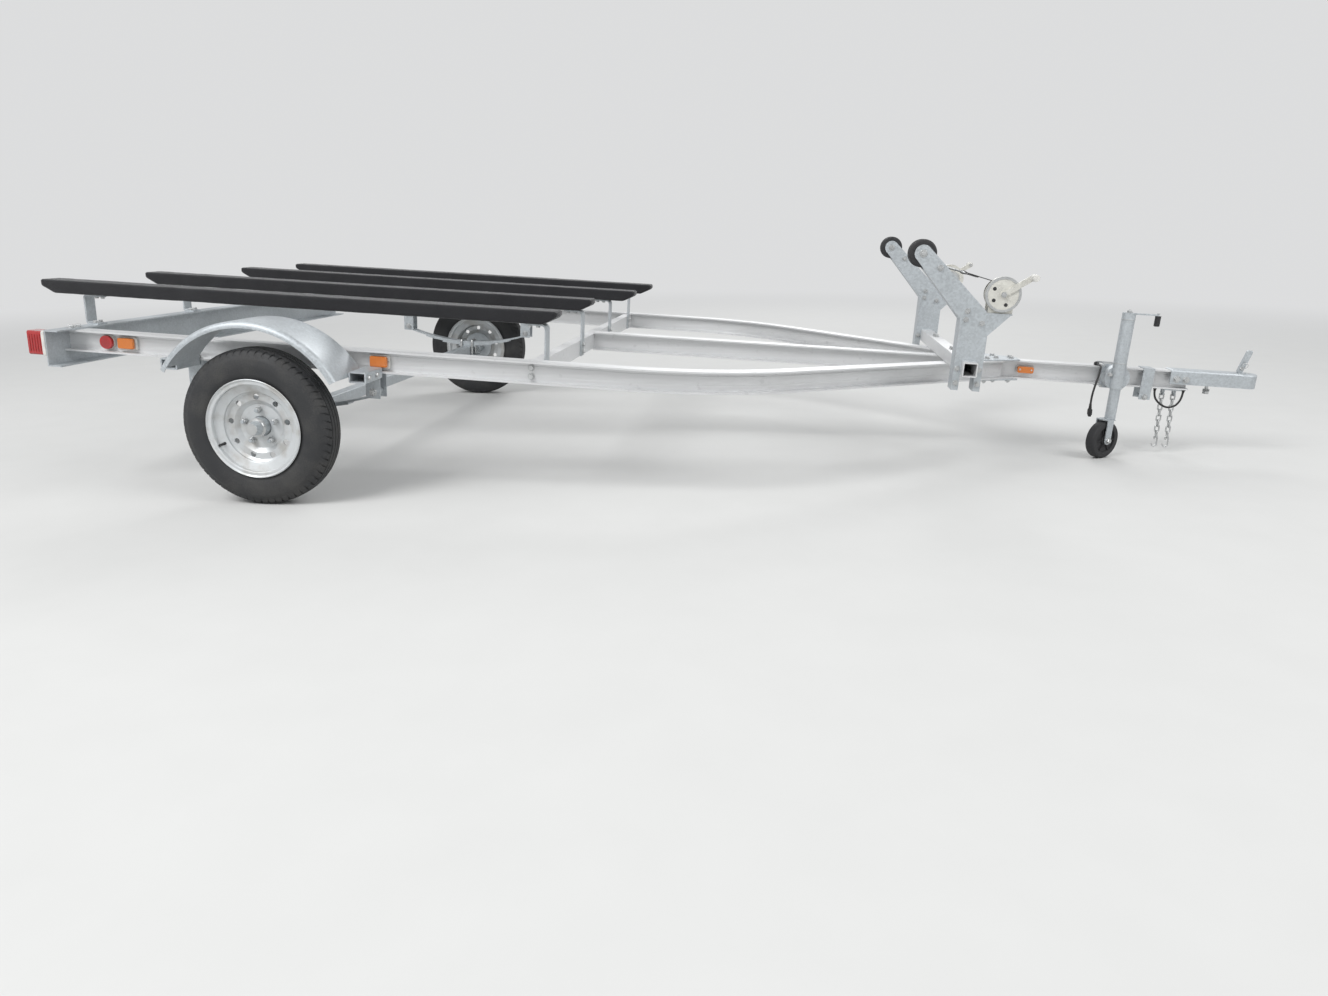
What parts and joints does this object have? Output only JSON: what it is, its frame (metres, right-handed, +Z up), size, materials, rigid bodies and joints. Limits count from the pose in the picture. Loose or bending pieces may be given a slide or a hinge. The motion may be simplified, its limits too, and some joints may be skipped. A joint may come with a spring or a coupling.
{
  "type": "double watercraft trailer",
  "caption": "Aluminium I-beam trailer with carpeted bunks, two winch stands, leaf-sprung axle, swivel jack and ball coupler, standing on its jack.",
  "frame": {"origin": "on the ground under the middle of the overall length and width", "axes": "+X forward to the coupler, +Y to the left side, +Z up"},
  "size_m": [4.6012, 2.458, 0.8724],
  "materials": {
    "aluminium": "mill finish, ribbed extrusion",
    "amber_lens": "gloss",
    "black_rubber": "satin",
    "carpet": "black marine carpet over board",
    "galvanised": "hot-dip galvanised, spangled",
    "red_lens": "gloss",
    "tyre": "matt",
    "wheel_steel": "silver, satin"
  },
  "bodies": {
    "chassis": {"axle_beam": "galvanised", "bunk_brackets_front": "galvanised", "bunk_brackets_rear": "galvanised", "bunk_left_inner": "carpet", "bunk_left_outer": "carpet", "bunk_right_inner": "carpet", "bunk_right_outer": "carpet", "centre_beam": "aluminium", "coupler": "galvanised", "coupler_latch": "galvanised", "crossmember_front": "aluminium", "crossmember_rear": "galvanised", "fender_left": "galvanised", "fender_right": "galvanised", "fender_steps_left": "galvanised", "fender_steps_right": "galvanised", "jack_bracket": "galvanised", "rail_left": "aluminium", "rail_right": "aluminium", "side_markers": "amber_lens", "spring_hangers_left": "galvanised", "spring_hangers_right": "galvanised", "spring_left": "galvanised", "spring_right": "galvanised", "stand_crossbar": "aluminium", "tail_lights": "red_lens", "tongue": "aluminium", "winch_left": "galvanised", "winch_right": "galvanised", "winch_stand_left": "galvanised", "winch_stand_right": "galvanised"},
    "wheel_right": {"tyre_right": "tyre", "rim_right": "wheel_steel", "hub_right": "galvanised"},
    "wheel_left": {"tyre_left": "tyre", "rim_left": "wheel_steel", "hub_left": "galvanised"},
    "bow_roller_right": {"bow_roller_right": "black_rubber"},
    "bow_roller_left": {"bow_roller_left": "black_rubber"},
    "jack": {"jack_tube": "galvanised", "jack_crank": "galvanised"},
    "jack_leg": {"jack_leg": "galvanised"},
    "caster_fork": {"caster_fork": "galvanised"},
    "caster_wheel": {"caster_wheel": "black_rubber"}
  },
  "joints": [
    {"name": "wheel_right_spin", "type": "hinge", "parent": "chassis", "child": "wheel_right", "pos_m": [-1.34767, -1.15, 0.267], "axis": [0, 1, 0], "continuous": true},
    {"name": "wheel_left_spin", "type": "hinge", "parent": "chassis", "child": "wheel_left", "pos_m": [-1.34767, 1.15, 0.267], "axis": [0, 1, 0], "continuous": true},
    {"name": "bow_roller_right_spin", "type": "hinge", "parent": "chassis", "child": "bow_roller_right", "pos_m": [0.87455, -0.56, 0.82446], "axis": [0, 1, 0], "continuous": true},
    {"name": "bow_roller_left_spin", "type": "hinge", "parent": "chassis", "child": "bow_roller_left", "pos_m": [0.87455, 0.56, 0.82446], "axis": [0, 1, 0], "continuous": true},
    {"name": "jack_swivel", "type": "hinge", "parent": "chassis", "child": "jack", "pos_m": [1.73762, -0.092, 0.32561], "axis": [0, 1, 0], "range_deg": [0, 90]},
    {"name": "jack_extend", "type": "slide", "parent": "jack", "child": "jack_leg", "axis": [-0.0523, 0, -0.9986], "range_m": [-0.11, 0.08]},
    {"name": "caster_swivel", "type": "hinge", "parent": "jack_leg", "child": "caster_fork", "pos_m": [1.72897, -0.092, 0.1605], "axis": [0.0523, 0, 0.9986], "continuous": true},
    {"name": "caster_roll", "type": "hinge", "parent": "caster_fork", "child": "caster_wheel", "pos_m": [1.70323, -0.10691, 0.07633], "axis": [0.5728, -0.8192, -0.03], "continuous": true}
  ]
}
